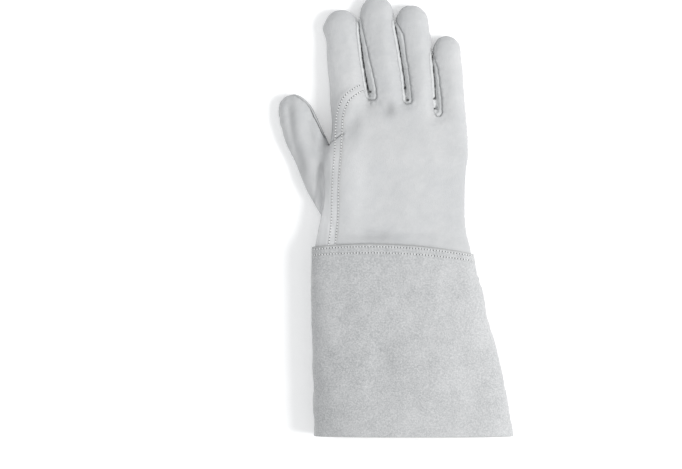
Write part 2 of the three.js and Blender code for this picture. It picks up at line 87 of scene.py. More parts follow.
# Smooth values between the rows of a table, whose first column is the key.
def smoothTable(rows, at):
    table = np.array(rows, float)
    key = table[:, 0]
    at = np.asarray(at, float)
    i = np.clip(np.searchsorted(key, at, side="right") - 1, 0, len(key) - 2)
    slopes = np.gradient(table, key, axis=0)
    span = (key[i + 1] - key[i])[:, None]
    t = ((at - key[i]) / (key[i + 1] - key[i]))[:, None]
    a, b, c, d = table[i], table[i + 1], slopes[i] * span, slopes[i + 1] * span
    out = (2 * t**3 - 3 * t**2 + 1) * a + (t**3 - 2 * t**2 + t) * c
    return out + (3 * t**2 - 2 * t**3) * b + (t**3 - t**2) * d


def smoothStep(x, low, high):
    t = np.clip((x - low) / (high - low), 0, 1)
    return t * t * (3 - 2 * t)


# Where a finger line runs at heights y.
def lineX(column, y):
    y = np.asarray(y, float)
    held = np.clip(y.ravel(), 30, 175)
    return smoothTable(form["fingerLines"], held)[:, column].reshape(y.shape)


def signedPower(v, p):
    return np.sign(v) * np.abs(v) ** p


# All the rings of a tube at once: flat below, rounder above.
def ringPoints(sides, *given):
    angle = np.linspace(0, 2 * np.pi, sides, endpoint=False)[None, :]
    columns = [np.broadcast_to(v, len(given[0]))[:, None] for v in given]
    y, left, right, bottom, top, slant, bow, widest, crown, sole = columns
    middle, half = (left + right) / 2, (right - left) / 2
    waist = bottom + widest * (top - bottom)
    upper = np.sin(angle) >= 0
    power = np.where(upper, 2 / crown, 2 / sole)
    across = signedPower(np.cos(angle), power)
    up = signedPower(np.sin(angle), power)
    height = np.where(upper, top - waist, waist - bottom)
    press = np.where(upper, up, np.maximum(-1, up * 1.07))
    x = middle + half * across
    return np.stack([x, y + slant * (x - middle) - bow * across**2, waist + height * press], -1)


# Rows that close a tube with a rounded tip, from its last: y, left, right, bottom, top, slant, bow, widest.
def domeRows(last, rise, steps, squareness=0.85):
    y, left, right, bottom, top, slant, bow, widest = last
    angle = np.linspace(0, np.pi / 2, steps + 1)[1:]
    shrink = np.maximum(0.02, np.cos(angle) ** squareness)
    middle, waist = (left + right) / 2, bottom + widest * (top - bottom)
    return np.stack([
        y + rise * np.sin(angle), middle + (left - middle) * shrink, middle + (right - middle) * shrink,
        waist - (waist - bottom) * shrink, waist + (top - waist) * shrink, np.full(steps, slant),
        bow * (1 - 0.25 * np.arange(1, steps + 1) / steps),
    ], 1)


# Faces between the rings of a grid; a loop also joins the last ring to the first.
def gridQuads(rows, sides, loop=False):
    r, k = np.meshgrid(np.arange(rows if loop else rows - 1), np.arange(sides), indexing="ij")
    r2, k2 = (r + 1) % rows, (k + 1) % sides
    return np.stack([r * sides + k, r * sides + k2, r2 * sides + k2, r2 * sides + k], -1).reshape(-1, 4)


# A tube with a fan over each end.
def closedTube(rings):
    rows, sides, _ = rings.shape
    points = np.concatenate([rings.reshape(-1, 3), [rings[0].mean(0)], [rings[-1].mean(0)]])
    hub = rows * sides
    faces = [tuple(f) for f in gridQuads(rows, sides)[:, ::-1]]
    for a in range(sides):
        b = (a + 1) % sides
        faces += [(a, b, hub), (hub - sides + b, hub - sides + a, hub + 1)]
    return points, faces


# The rings of a tube that ends in a dome.
def tubeOf(table, dome, widest, crown, sole, sides):
    body = np.concatenate([table, domeRows((*table[-1], widest), dome, 16)])
    return ringPoints(sides, *body.T, widest, crown, sole)


def handRings():
    ys = np.linspace(form["hand"][0][0], form["hand"][-1][0], 60)
    return tubeOf(smoothTable(form["hand"], ys), form["handEnd"], *form["handSection"])


def fingerRings(finger):
    _, leftLine, rightLine, root, dome, tip, rootTop, tipTop = finger
    share = np.linspace(0, 1, 56)
    ys = root + (dome - root) * share
    # Below its slot a finger runs into its neighbour, and above it they stand apart.
    opened = {line: smoothStep(ys, start - 4, start + 2) for line, start in form["slotStarts"].items()}
    apart, meet = form["fingerGap"] / 2, form["fingerMeet"]
    gap = {line: apart * part - meet * (1 - part) for line, part in opened.items()}
    left = lineX(leftLine, ys) + gap.get(leftLine, 0)
    right = lineX(rightLine, ys) - gap.get(rightLine, 0)
    buried = 5 * (1 - smoothStep(ys, root, root + 16))
    tall = tipTop + (rootTop - tipTop) * np.cos(share ** 0.9 * np.pi / 2) - buried
    none = np.zeros_like(ys)
    table = np.stack([ys, left + buried, right - buried, none + buried / 2, tall, none, none], 1)
    return tubeOf(table, tip - dome, *form["limbSection"])


def thumbRings():
    ys = np.linspace(form["thumb"][0][0], form["thumb"][-1][0], 50)
    straight = np.pad(smoothTable(form["thumb"], ys), ((0, 0), (0, 2)))
    rings = tubeOf(straight, form["thumbTip"] - ys[-1], *form["limbSection"])
    c, s = math.cos(form["thumbTurn"]), math.sin(form["thumbTurn"])
    return rings @ np.array([[c, s, 0], [-s, c, 0], [0, 0, 1]])


def link(obj):
    bpy.context.scene.collection.objects.link(obj)
    return obj


def meshObject(name, points, faces):
    mesh = bpy.data.meshes.new(name)
    places = [tuple(p) for p in np.asarray(points) * mm]
    mesh.from_pydata(places, [], [tuple(int(i) for i in f) for f in faces])
    mesh.update()
    return link(bpy.data.objects.new(name, mesh))


# Joins hand, fingers and thumb into one skin of even small triangles.
def fusedSkin():
    points, faces = [], []
    for rings in [handRings(), thumbRings(), *map(fingerRings, form["fingers"])]:
        p, f = closedTube(rings)
        faces += [tuple(i + len(points) for i in face) for face in f]
        points += [*p]
    obj = meshObject("skinDraft", points, faces)
    remesh = obj.modifiers.new("even", "REMESH")
    remesh.mode = "VOXEL"
    remesh.voxel_size = form["fineness"] * mm
    made = obj.evaluated_get(bpy.context.evaluated_depsgraph_get()).to_mesh()
    made.calc_loop_triangles()
    v = np.empty(len(made.vertices) * 3)
    made.vertices.foreach_get("co", v)
    t = np.empty(len(made.loop_triangles) * 3, int)
    made.loop_triangles.foreach_get("vertices", t)
    mesh = obj.data
    bpy.data.objects.remove(obj)
    bpy.data.meshes.remove(mesh)
    return v.reshape(-1, 3) / mm, t.reshape(-1, 3)


# The three edges of every triangle.
def sidesOf(t):
    return np.concatenate([t[:, [0, 1]], t[:, [1, 2]], t[:, [2, 0]]])


def edgesOf(t):
    return np.unique(np.sort(sidesOf(t), 1), axis=0)


# Mean of each point's neighbours.
def averaged(values, edges, count):
    a, b = edges.T
    sums = [np.bincount(a, values[b, k], count) + np.bincount(b, values[a, k], count) for k in range(3)]
    total = np.stack(sums, 1)
    n = np.bincount(a, minlength=count) + np.bincount(b, minlength=count)
    return total / np.maximum(n, 1)[:, None]


# Smooths a mesh by weight, or all over. Where it keeps its volume, each round swells it back.
def relaxed(v, t, rounds, weight, keepVolume=False):
    edges, count = edgesOf(t), len(v)
    w = np.clip(weight, 0, 1)[:, None]
    for _ in range(rounds):
        v = v + 0.5 * w * (averaged(v, edges, count) - v)
        if keepVolume:
            v = v - 0.52 * w * (averaged(v, edges, count) - v)
    return v


def normalsOf(v, t):
    a, b, c = v[t[:, 0]], v[t[:, 1]], v[t[:, 2]]
    n = np.cross(b - a, c - a)
    sums = [sum(np.bincount(t[:, k], n[:, d], len(v)) for k in range(3)) for d in range(3)]
    out = np.stack(sums, 1)
    return out / np.maximum(np.linalg.norm(out, axis=1), 1e-9)[:, None]


# Cuts the allowed triangles along the line where field is zero.
def splitAt(v, t, field, allowed):
    f = np.where(np.abs(field) < 0.07, 0.0, field)  # a point this near lies on the line
    s = np.sign(f).astype(int)
    edges = sidesOf(t)
    live = (s[edges[:, 0]] * s[edges[:, 1]] < 0) & allowed[edges[:, 0]] & allowed[edges[:, 1]]
    if not live.any():
        return v, t
    unique, inverse = np.unique(np.sort(edges[live], 1), axis=0, return_inverse=True)
    fa, fb = f[unique[:, 0]], f[unique[:, 1]]
    share = (fa / (fa - fb))[:, None]
    newPoints = v[unique[:, 0]] * (1 - share) + v[unique[:, 1]] * share
    ids = np.full(len(edges), -1)
    ids[live] = len(v) + inverse.ravel()
    mid = ids.reshape(3, -1).T  # the new point on each of a triangle's three edges, or -1
    count = (mid >= 0).sum(1)
    keep, cut, mid = t[count == 0], t[count > 0], mid[count > 0]
    count = count[count > 0]
    parts = [keep]
    for k in range(3):
        i, j, l = k, (k + 1) % 3, (k + 2) % 3
        one = (count == 1) & (mid[:, i] >= 0)
        m, c = mid[one, i], cut[one]
        parts += [np.stack([c[:, i], m, c[:, l]], 1), np.stack([m, c[:, j], c[:, l]], 1)]
        two = (count == 2) & (mid[:, j] < 0)
        m1, m2, c = mid[two, i], mid[two, l], cut[two]
        parts += [np.stack([c[:, i], m1, m2], 1), np.stack([m1, c[:, j], c[:, l]], 1)]
        parts += [np.stack([m1, c[:, l], m2], 1)]
    return np.concatenate([v, newPoints]), np.concatenate(parts)


# A smooth line through places in plan.
def chain(points, steps=8):
    p = np.array(points, float)
    key = np.concatenate([[0], np.cumsum(np.linalg.norm(np.diff(p, axis=0), axis=1))])
    at = np.linspace(0, key[-1], (len(p) - 1) * steps + 1)
    return smoothTable(np.column_stack([key, p]), at)[:, 1:]


# The stretches of a line in plan: start, run, and how far places are from each.
def stretchesOf(line, x, y):
    for (ax, ay), (bx, by) in zip(line[:-1], line[1:]):
        dx, dy = bx - ax, by - ay
        t = np.clip(((x - ax) * dx + (y - ay) * dy) / (dx * dx + dy * dy + 1e-12), 0, 1)
        yield ax, ay, dx, dy, np.hypot(x - ax - t * dx, y - ay - t * dy)


# Signed distance in plan from an open line: positive on its right side.
def sideOf(line, x, y):
    best = np.full(np.shape(x), 1e9)
    sign = np.ones(np.shape(x))
    for ax, ay, dx, dy, d in stretchesOf(line, x, y):
        near = d < best - 1e-9
        best = np.where(near, d, best)
        turned = np.where((x - ax) * dy - (y - ay) * dx >= 0, 1.0, -1.0)
        sign = np.where(near, turned, sign)
    return best * sign


# Signed distance in plan from a closed line: positive inside.
def insideOf(ring, x, y):
    best = np.full(np.shape(x), 1e9)
    inside = np.zeros(np.shape(x), bool)
    for ax, ay, dx, dy, d in stretchesOf(np.concatenate([ring, ring[:1]]), x, y):
        best = np.minimum(best, d)
        if dy:
            inside ^= ((ay > y) != (ay + dy > y)) & (x < dx * (y - ay) / dy + ax)
    return best * np.where(inside, 1, -1)


# The lap seam's line in plan, from under the cuff up to the arc below the index finger.
lapPlaces = [
    (-48.8, -62), (-48.0, -25), (-46.0, -7), (-44.8, 29), (-43.0, 53), (-42.2, 69), (-41.0, 82),
    (-36.2, 92.4), (-30.0, 97.2), (-24.6, 100.2),
]

# Where the leather is cut and sewn, in plan.
seams = {
    "lap": chain([*lapPlaces, (-14, 105)]),
    # The index finger's wrap, as a closed line
    "wrap": np.array([
        (-10, 93), (-43.2, 65), (-53.2, 56.6), (-54.4, 66), (-62, 130), (-70, 220), (0, 220),
    ], float),
    "heel": chain([(-30.5, -70), (-30.5, -24), (-34, -7), (-44.5, 10), (-60, 24), (-84, 38), (-120, 56)]),
    "base": chain([
        (-24, 89), (-19.6, 86.6), (-5, 82.4), (9.2, 84.8), (21, 78.4), (32.8, 75.4), (38, 73),
    ]),
    "low": [(-90, 16.0), (0, 15.5), (50, 13.5), (88, 9.0), (190, 9.0)],  # y, height of the side seam
    "thumbHeight": 8.5,
    "thumbClimb": 4.6,  # how much higher the thumb's seam is beside the index finger
    "frontHeight": 4.2,
    "besides": (0.0, -0.22, 0.22, -0.6, 0.6, -1.2, 1.2),  # how far from its line each cut is made
    # line, then y with the strip's reach to each side of the line
    "slots": {
        "fourchette_index_middle": (2, [
            (93.0, 0.6, 3.4), (94.6, 2.0, 5.2), (99, 2.4, 5.7), (113, 2.4, 5.8), (130, 2.4, 4.4),
            (151, 2.3, 2.5), (158, 1.6, 1.5), (161, 0.3, 0.3),
        ]),
        "fourchette_middle_ring": (3, [
            (90.0, 0.8, 2.8), (91.6, 2.0, 3.9), (95.6, 2.4, 4.1), (113, 2.4, 4.0), (130, 2.4, 3.9),
            (147, 2.4, 4.4), (156, 1.8, 1.2), (160, 0.3, 0.3),
        ]),
        "fourchette_ring_little": (4, [
            (80.2, 0.0, 2.6), (81.8, 1.0, 3.9), (86, 1.4, 4.1), (104, 2.2, 3.7), (117, 2.3, 3.2),
            (129, 1.6, 1.0), (134, 0.3, 0.3),
        ]),
    },
}


# A slot's strip as a closed line in plan.
def slotRing(slot):
    line, rows = seams["slots"][slot]
    rows = smoothTable(rows, np.linspace(rows[0][0], rows[-1][0], 40))
    middle = lineX(line, rows[:, 0])
    left = np.column_stack([middle - rows[:, 1], rows[:, 0]])
    right = np.column_stack([middle + rows[:, 2], rows[:, 0]])
    return np.concatenate([left, right[::-1]])


slotRings = {name: slotRing(name) for name in seams["slots"]}


# Places measured across the turned thumb, towards the index finger.
def acrossThumb(x, y):
    turn = form["thumbTurn"]
    return x * math.cos(turn) + y * math.sin(turn)


# Signed distance of points p from a seam.
def fieldAt(p, name):
    x, y, z = p.T
    if name == "lap":
        return sideOf(seams["lap"], x, y)
    if name in ("heel", "base"):
        return -sideOf(seams[name], x, y)
    if name == "wrap":
        return insideOf(seams["wrap"], x, y)
    if name == "low":
        return z - np.interp(y, *np.transpose(seams["low"]))
    if name == "front":
        return z - seams["frontHeight"]
    if name == "thumb":
        # On the side that faces the index finger the thumb's seam is sewn higher.
        climb = smoothStep(acrossThumb(x, y), -42, -33) * smoothStep(y, 56, 66)
        return z - seams["thumbHeight"] - seams["thumbClimb"] * climb
    lean = 4.5 * (1 - smoothStep(z, 3, 20))  # the turn of a strip leans back towards the palm
    start = seams["slots"][name][1][0][0]
    leaned = y + lean * (1 - smoothStep(y, start, start + 14))
    return insideOf(slotRings[name], x, np.where(y < start + 14, leaned, y))


seamNames = ["lap", "wrap", "heel", "base", "low", "thumb", "front", *slotRings]


# Which leather panel each place belongs to.
def panelsAt(p):
    x, y, z = p.T
    f = {name: fieldAt(p, name) for name in seamNames}
    label = np.full(len(p), "palm_panel", dtype="U32")
    gaps = [lineX(k, y) for k in (2, 3, 4)]
    right = (x > gaps[0]) & (y > 70)
    back = (f["low"] > 0) & ((f["lap"] > 0) | right)
    label[back] = "back_panel"
    front = (f["low"] <= 0) & (f["base"] > 0) & (x > gaps[0]) & (x < gaps[2]) & (y > 70)
    label[front & (x < gaps[1])] = "middle_finger_front"
    label[front & (x >= gaps[1])] = "ring_finger_front"
    top = (f["thumb"] > 0) & (f["lap"] <= 0) & ~right & (f["wrap"] <= 0)
    label[top] = "thumb_panel"
    label[(f["thumb"] <= 0) & (f["heel"] > 0)] = "thumb_panel"
    for name in slotRings:
        label[(f[name] > 0) & (f["front"] > 0) & (z > 4)] = name
    return label


# A soft round weight in plan about a place, with its reach each way.
def spotWeight(p, px, py, reachX, reachY):
    return np.exp(-(((p[:, 0] - px) / reachX) ** 2 + ((p[:, 1] - py) / reachY) ** 2))


smoothing = {
    "allRounds": 6, "junctionRounds": 26, "knuckleRounds": 110, "forkRounds": 60,
    # Where the thumb and the hand's sides meet the rest: x, y, reach each way
    "junctions": [(-52, 48, 9, 20), (57, 60, 7, 16), (-51, 66, 7, 12)],
    "rootY": 84, "rootReach": 9,  # the fingers' roots
    "knuckleY": 80, "knuckleReach": 15, "knuckleArc": 0.004, "knuckleMiddle": 3,
    "forkBelow": 2, "forkReach": 3.6,  # where two fingers part, below the end of the slot
}

print("drawing the skin", flush=True)
skin, faces = fusedSkin()
s = smoothing
x, y, z = skin.T
junction = np.exp(-(((y - s["rootY"]) / s["rootReach"]) ** 2)) * (z > 8)
junction += sum(spotWeight(skin, *spot) for spot in s["junctions"])
arc = y - s["knuckleY"] + s["knuckleArc"] * (x - s["knuckleMiddle"]) ** 2
knuckles = np.exp(-((arc / s["knuckleReach"]) ** 2)) * smoothStep(z, 12, 17)
skin = relaxed(skin, faces, s["allRounds"], np.ones(len(skin)), keepVolume=True)
skin = relaxed(skin, faces, s["junctionRounds"], junction)
skin = relaxed(skin, faces, s["knuckleRounds"], knuckles)
forks = np.zeros(len(skin))
for line, rows in seams["slots"].values():
    forkY = rows[0][0] - s["forkBelow"]
    forkX = lineX(line, np.full(1, forkY))[0]
    forks += spotWeight(skin, forkX, forkY, s["forkReach"], s["forkReach"]) * (skin[:, 2] > 5)
skin = relaxed(skin, faces, s["forkRounds"], forks)
print("skin", len(skin), "points", len(faces), "faces", flush=True)

# The fingers are closed up again towards each other.
for column in form["slotStarts"]:
    off = skin[:, 0] - lineX(column, skin[:, 1])
    near = np.exp(-((off / 4.0) ** 2)) * smoothStep(skin[:, 1], 86, 96)
    skin[:, 0] -= np.sign(off) * near * 0.3 * form["fingerGap"]

# Cut along every seam, and again beside it so that the rolled edges are drawn finely.
for name in seamNames:
    for offset in seams["besides"]:
        f = fieldAt(skin, name) - offset
        x, y, z = skin.T
        only = {
            "lap": (x < -14) & (z > 14) & (y > -45),
            "wrap": (x < -40) & (y > 52) & (z > 8),
            "heel": (z < 9),
            "base": (z < 9.2) & (x > -24) & (x < 37) & (y > 70),
            "low": (x > -31) & (z > 6) & ((x > 40) | (y > 70)),
            "thumb": (x < -45) & (z > 6) & (z < 15.5) & (y > 15),
            "front": (y > 70) & (z > 2) & (z < 7) & (x > -34) & (x < 40),
        }.get(name, (z > 2) & (y > 60))
        skin, faces = splitAt(skin, faces, f, only)
    print("cut at", name, len(skin), flush=True)
print("cut along seams", len(skin), "points", len(faces), "faces")

labels = panelsAt(skin[faces].mean(1))


# Smooth, seeded waves in space, about -1 to 1.
def waves(p, size, seed):
    count = 14
    rng = np.random.default_rng(seed)
    out = np.zeros(len(p))
    for _ in range(count):
        way = rng.normal(size=3)
        way *= rng.uniform(0.6, 1.5) / (size * np.linalg.norm(way))
        out += np.sin(2 * np.pi * (p @ way) + rng.uniform(0, 6.28))
    return out / math.sqrt(count)


# Points along every edge between two panels, thick enough to measure distances from.
def seamSamples(v, t, names):
    edges = np.sort(sidesOf(t), 1)
    owner = np.tile(np.unique(names, return_inverse=True)[1], 3)
    order = np.lexsort((edges[:, 1], edges[:, 0]))
    edges, owner = edges[order], owner[order]
    same = (edges[1:] == edges[:-1]).all(1) & (owner[1:] != owner[:-1])
    start, end = v[edges[1:][same]].transpose(1, 0, 2)[:, :, None]
    share = np.linspace(0, 1, 6)[None, :, None]
    return (start * (1 - share) + end * share).reshape(-1, 3)


# How far each of v is from the nearest of points, up to reach.
def distanceTo(points, v, reach):
    tree = KDTree(len(points))
    for i, p in enumerate(points):
        tree.insert(p, i)
    tree.balance()
    out = np.full(len(v), reach)
    for i, p in enumerate(v):
        out[i] = min(reach, tree.find(p)[2])
    return out


leather = {
    "thickness": 1.5, "lapThinner": 0.25, "floorThickness": 0.9,
    "seamDepth": 1.15, "seamWidth": 1.55,  # how the leather rolls into a seam
    "ridgeHeight": 0.22, "ridgeAway": 2.2, "ridgeWidth": 1.3,  # and swells beside it
    "lapRise": 1.35, "lapWidth": 7.2, "lapSlope": 4.5,
    "lapRows": (0.9, 5.9),  # where its stitches run, from its edge
    "rowDepth": 0.20, "rowWidth": 0.9,  # how they draw it in
    "waves": [(38, 0.24, 3), (16, 0.10, 7), (6.5, 0.04, 9)],  # size, height, seed
    # Pinholes where a slot's crevice ends, sunk into the strip and painted near-black as shade, in plan
    "holes": [(-21.0, 99.4), (7.4, 102.5), (9.2, 93.0), (31.0, 94.0), (31.6, 86.2)],
    "holeSize": 0.85, "holeDepth": 1.3,
    # Which line, and between which y its crevice is shut and painted as a dark line of shade
    "crevices": [(2, 99.4, 157), (3, 102.5, 156), (4, 93, 131)], "creviceSize": 0.45,
    "puckerSize": 4.2, "puckerHeight": 0.26, "puckerReach": 4.0,
    # Soft patches of the upper side: x, y, turn, length, width, lift
    "patches": [
        (-5.9, 85.2, 10, 8, 6.5, -1.9), (-14, 89, 45, 6, 3, -0.7), (-20, -15, 85, 26, 7, -1.3),
        (18, 22, 70, 46, 20, 0.8), (22, 84, 0, 12, 7, -0.5), (-33, 76, -10, 16, 6, -0.7),
        (44, 74, 10, 14, 8, -0.5), (30, -16, 80, 22, 6, -0.6), (-39, 120, 5, 22, 6, -0.5),
        (-9, 128, 10, 26, 6, 0.4), (40, 108, 6, 16, 5, -0.4),
    ],
    # Folds of the upper side: places in plan, width, lift
    "upperFolds": [
        ([(-87.6, 94), (-86.0, 80), (-82.8, 62), (-78.4, 44), (-74.2, 28)], 3.4, -1.5),
        ([(-80.0, 94), (-78.0, 80), (-74.8, 62), (-70.4, 46), (-66.5, 30)], 4.5, 0.6),
        ([(-69.5, 84), (-66.4, 70), (-62.8, 60), (-59.4, 50)], 2.6, -1.3),
        ([(-60.5, 44), (-59.0, 33), (-57.9, 23), (-58.6, 13), (-61, -2)], 1.3, -1.7),
        ([(-62.0, 42), (-63.2, 28), (-65.2, 14), (-66, 6)], 1.5, -1.0),
        ([(-46, 60), (-39, 72), (-36, 84)], 4.0, -0.6),
        ([(-34, -12), (-20, -15), (-4, -14.5)], 3.6, -0.9),
        ([(-2, -10), (16, -13), (36, -12)], 3.0, -0.5),
        ([(-56, 2), (-50, -10), (-49, -20)], 2.5, -0.6),
    ],
    # Small bulges anywhere: x, y, z, radius, lift
    "bulges": [(-58.5, 150.5, 9, 5.0, 1.5), (-66, 97, 9, 6, 0.5), (-12, 172, 9, 5, 0.4)],
    # Painted shade on the upper side, and painted light where the amount is negative: x, y, length, width,
    # amount
    "shades": [
        (-5.9, 85.2, 6.5, 5.5, 0.75), (-33, 68, 14, 5, 0.3), (-18, -16, 4, 16, 0.35), (-66, 62, 16, 4, 0.5),
        (-82.5, 80, 20, 3.2, 0.45), (-75, 40, 14, 4, 0.4), (-12, 150, 16, 4, 0.2), (-62, 24, 14, 3.5, 0.35),
        (-57.5, -2, 26, 9, -0.85), (-52, 112, 32, 5, -0.4), (-51.5, 46, 11, 4.5, -0.6),
        (-31, 32, 48, 11, -0.35), (52, 20, 62, 13, 0.3),
    ],
    # Painted shade on the side of the thumb that faces the index finger: how dark below its seam and in it
    "forkShade": 1.0, "forkSeam": 0.8, "forkSeamSize": 0.7,
    # Folds of the palm
    "lowerFolds": [
        ([(-52, 50), (-34, 46), (-12, 52), (10, 64)], 3.2, -1.1),
        ([(-50, 36), (-30, 28), (-8, 30), (18, 40)], 3.6, -1.0),
        ([(-44, 20), (-24, 8), (0, 6), (22, 14)], 3.4, -0.9),
        ([(-36, 66), (-14, 70), (8, 74), (30, 70)], 2.6, -0.8),
        ([(-30, -4), (-6, -12), (20, -8)], 3.4, -0.7), ([(48, 60), (42, 40), (44, 16)], 3.2, -0.8),
        ([(-44, 96), (-30, 97)], 2.0, -0.7), ([(-46, 122), (-32, 122)], 2.0, -0.6),
        ([(-12, 108), (2, 107)], 2.0, -0.6), ([(-16, 134), (-2, 133)], 2.0, -0.6),
        ([(12, 104), (26, 103)], 2.0, -0.6), ([(34, 100), (50, 101)], 2.0, -0.6),
        ([(-72, 66), (-60, 70)], 2.0, -0.6),
    ],
}


# Soft dents and rises in plan.
def softPatches(p, patches):
    out = np.zeros(len(p))
    for px, py, turn, length, width, lift in patches:
        a = math.radians(turn)
        dx, dy = p[:, 0] - px, p[:, 1] - py
        along = (-dx * math.sin(a) + dy * math.cos(a)) / length
        across = (dx * math.cos(a) + dy * math.sin(a)) / width
        out += lift * np.exp(-2 * (along**2 + across**2))
    return out


# Folds and ridges that follow lines in plan and run out at their ends.
def foldLines(p, folds):
    out = np.zeros(len(p))
    for places, width, lift in folds:
        line = chain(places, 6)
        away = np.abs(sideOf(line, p[:, 0], p[:, 1]))
        ends = [np.hypot(p[:, 0] - x, p[:, 1] - y) for x, y in (line[0], line[-1])]
        out += lift * np.exp(-((away / width) ** 2)) * smoothStep(np.minimum(*ends), 0, 3 * width)
    return out


# How the leather rolls down into a seam.
def seamGroove(away, width, depth):
    roll = np.clip(1 - away / width, 0, 1)
    return -depth * (1 - np.sqrt(1 - roll**2))


# How far the worked leather stands off the plain skin, along its normal.
def leatherRelief(p, normal, seamAway):
    s = leather
    up, down = smoothStep(normal[:, 2], 0.05, 0.45), smoothStep(-normal[:, 2], 0.05, 0.45)
    out = s["ridgeHeight"] * np.exp(-(((seamAway - s["ridgeAway"]) / s["ridgeWidth"]) ** 2))
    pucker = waves(p, s["puckerSize"], 21)
    out += s["puckerHeight"] * pucker * np.exp(-seamAway / s["puckerReach"]) * smoothStep(seamAway, 0, 0.8)
    for size, height, seed in s["waves"]:
        out += height * waves(p, size, seed) * (1 - 0.75 * down)
    out += up * (softPatches(p, s["patches"]) + foldLines(p, s["upperFolds"]))
    for bx, by, bz, radius, lift in s["bulges"]:
        out += lift * np.exp(-((p - (bx, by, bz)) ** 2).sum(1) / radius**2)
    out += down * foldLines(p, s["lowerFolds"])
    return out


# A closed sheet: the worked outer face, the plain inner face, and the cut edge between them.
def sheetFrom(name, outer, inner, t):
    edges = sidesOf(t)
    _, first, times = np.unique(np.sort(edges, 1), axis=0, return_index=True, return_counts=True)
    rim = edges[first[times == 1]]
    n = len(outer)
    start, end = rim.T
    walls = np.concatenate([np.stack([end, start, start + n], 1), np.stack([end, start + n, end + n], 1)])
    every = np.concatenate([t, t[:, ::-1] + n, walls])
    obj = meshObject(name, np.concatenate([outer, inner]), every)
    slots = np.repeat([0, 1, 2], [len(t), len(t), len(walls)])
    obj.data.polygons.foreach_set("material_index", slots)
    obj.data.shade_smooth()
    # The cut edge is crisp.
    rims = np.sort(np.concatenate([rim, rim + n]), 1)
    ends = np.empty(len(obj.data.edges) * 2, int)
    obj.data.edges.foreach_get("vertices", ends)
    ends = np.sort(ends.reshape(-1, 2), 1)
    size = 2 * n  # makes one key of the two ends of an edge
    sharp = np.isin(ends[:, 0] * size + ends[:, 1], rims[:, 0] * size + rims[:, 1])
    obj.data.edges.foreach_set("use_edge_sharp", sharp)
    return obj


print("working the leather", flush=True)
s = leather
x, y, z = skin.T
normals = normalsOf(skin, faces)
samples = seamSamples(skin, faces, labels)
lapSide = fieldAt(samples, "lap")
onLap = (np.abs(lapSide) < 0.5) & (samples[:, 0] < -16) & (samples[:, 2] > 13) & (samples[:, 1] < 103)
seamAway = distanceTo(samples[~onLap], skin, 30.0)
body = leatherRelief(skin, normals, seamAway)
shade = np.zeros(len(skin))
# Painted shade and painted light on the upper side
for px, py, length, width, amount in s["shades"]:
    shade += amount * spotWeight(skin, px, py, width, length) * smoothStep(normals[:, 2], 0.1, 0.5)
# The pits where the crevices end, sunk below and painted near-black as shade
holePlaces = [(*place, height) for place in s["holes"] for height in np.arange(8, 24, 0.3)]
holeAway = distanceTo(holePlaces, skin, 9.0)
pit = np.exp(-((holeAway / s["holeSize"]) ** 2))
# A dark line of painted shade along each shut crevice
creviceShade = np.zeros(len(skin))
for column, fromY, toY in s["crevices"]:
    off = x - lineX(column, y)
    along = smoothStep(y, fromY - 1, fromY + 1) * (z > 6)
    along = along * smoothStep(-y, -toY, 3 - toY)
    creviceShade = np.maximum(creviceShade, along * np.exp(-((off / s["creviceSize"]) ** 2)))
# The side of the thumb in the fork, as far as the line where the index finger begins.
fork = smoothStep(acrossThumb(x, y), -42, -34)
fork *= smoothStep(y, 49, 55) * smoothStep(-y, -94, -84)
fork *= x < -51.7 - 0.42 * (y - 55.2)
# Painted shade below the thumb's seam in the fork, and a dark line of painted shade in that seam
belowSeam = smoothStep(-fieldAt(skin, "thumb"), 0.2, 2.5) * smoothStep(z, 2, 6)
shade += s["forkShade"] * fork * belowSeam
forkSeamShade = s["forkSeam"] * fork * np.exp(-((seamAway / s["forkSeamSize"]) ** 2))
creviceShade = np.maximum(creviceShade, forkSeamShade)
relief = body + seamGroove(seamAway, s["seamWidth"], s["seamDepth"])
# The lap is raised, and drawn in a little along its two rows of stitches.
lap = -fieldAt(skin, "lap")
lapWidth = s["lapWidth"]
lapRaise = s["lapRise"] * smoothStep(lap, lapWidth + s["lapSlope"], lapWidth - 1)
lapRaise *= smoothStep(z, 13, 17) * (x < -16)
lapRaise *= smoothStep(x, -62, -57) * (1 - smoothStep(y, 97, 106))
rowAway = np.minimum(*(np.abs(lap - row) for row in s["lapRows"]))
lapRaise -= s["rowDepth"] * np.exp(-((rowAway / s["rowWidth"]) ** 2)) * (lapRaise > 0.4)

# The back panel goes on below the lap.
centres = skin[faces].mean(1)
lapOfFaces = -fieldAt(centres, "lap")
hidden = (lapOfFaces >= 0) & (lapOfFaces < lapWidth - 0.8)
hidden &= (centres[:, 2] > 18) & (centres[:, 0] < -22) & (centres[:, 1] < 100)
hidden &= np.isin(labels, ["thumb_panel", "palm_panel"])
leatherPieces = {}
for name in sorted(set(labels)):
    part = faces[labels == name]
    if name == "back_panel":
        part = np.concatenate([part, faces[hidden]])
    used, renumbered = np.unique(part, return_inverse=True)
    raised = lapRaise[used] if name in ("thumb_panel", "palm_panel") else np.zeros(len(used))
    sunk = s["holeDepth"] * pit[used] if name.startswith("fourchette") else 0
    outer = skin[used] + normals[used] * (relief[used] + raised - sunk)[:, None]
    thick = s["thickness"] - s["lapThinner"] * (raised > 0.2)
    inner = skin[used] + normals[used] * (body[used] + raised - thick)[:, None]
    outer[:, 2] = np.maximum(outer[:, 2], 0.0)
    inner[:, 2] = np.maximum(inner[:, 2], s["floorThickness"])
    obj = sheetFrom(name + "_leather", outer, inner, renumbered.reshape(-1, 3))
    # The shade layer holds painted shade and light, the hole layer near-black painted shade in pits,
    # crevices and the fork seam
    for key, values in (("seamAway", seamAway), ("shade", shade), ("hole", np.maximum(pit, creviceShade))):
        layer = obj.data.attributes.new(key, "FLOAT", "POINT")
        layer.data.foreach_set("value", np.tile(values[used], 2).astype(np.float32))
    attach(obj, "root")
    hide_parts(name)
    leatherPieces[name] = obj
    print("  ", name, len(obj.data.polygons), flush=True)


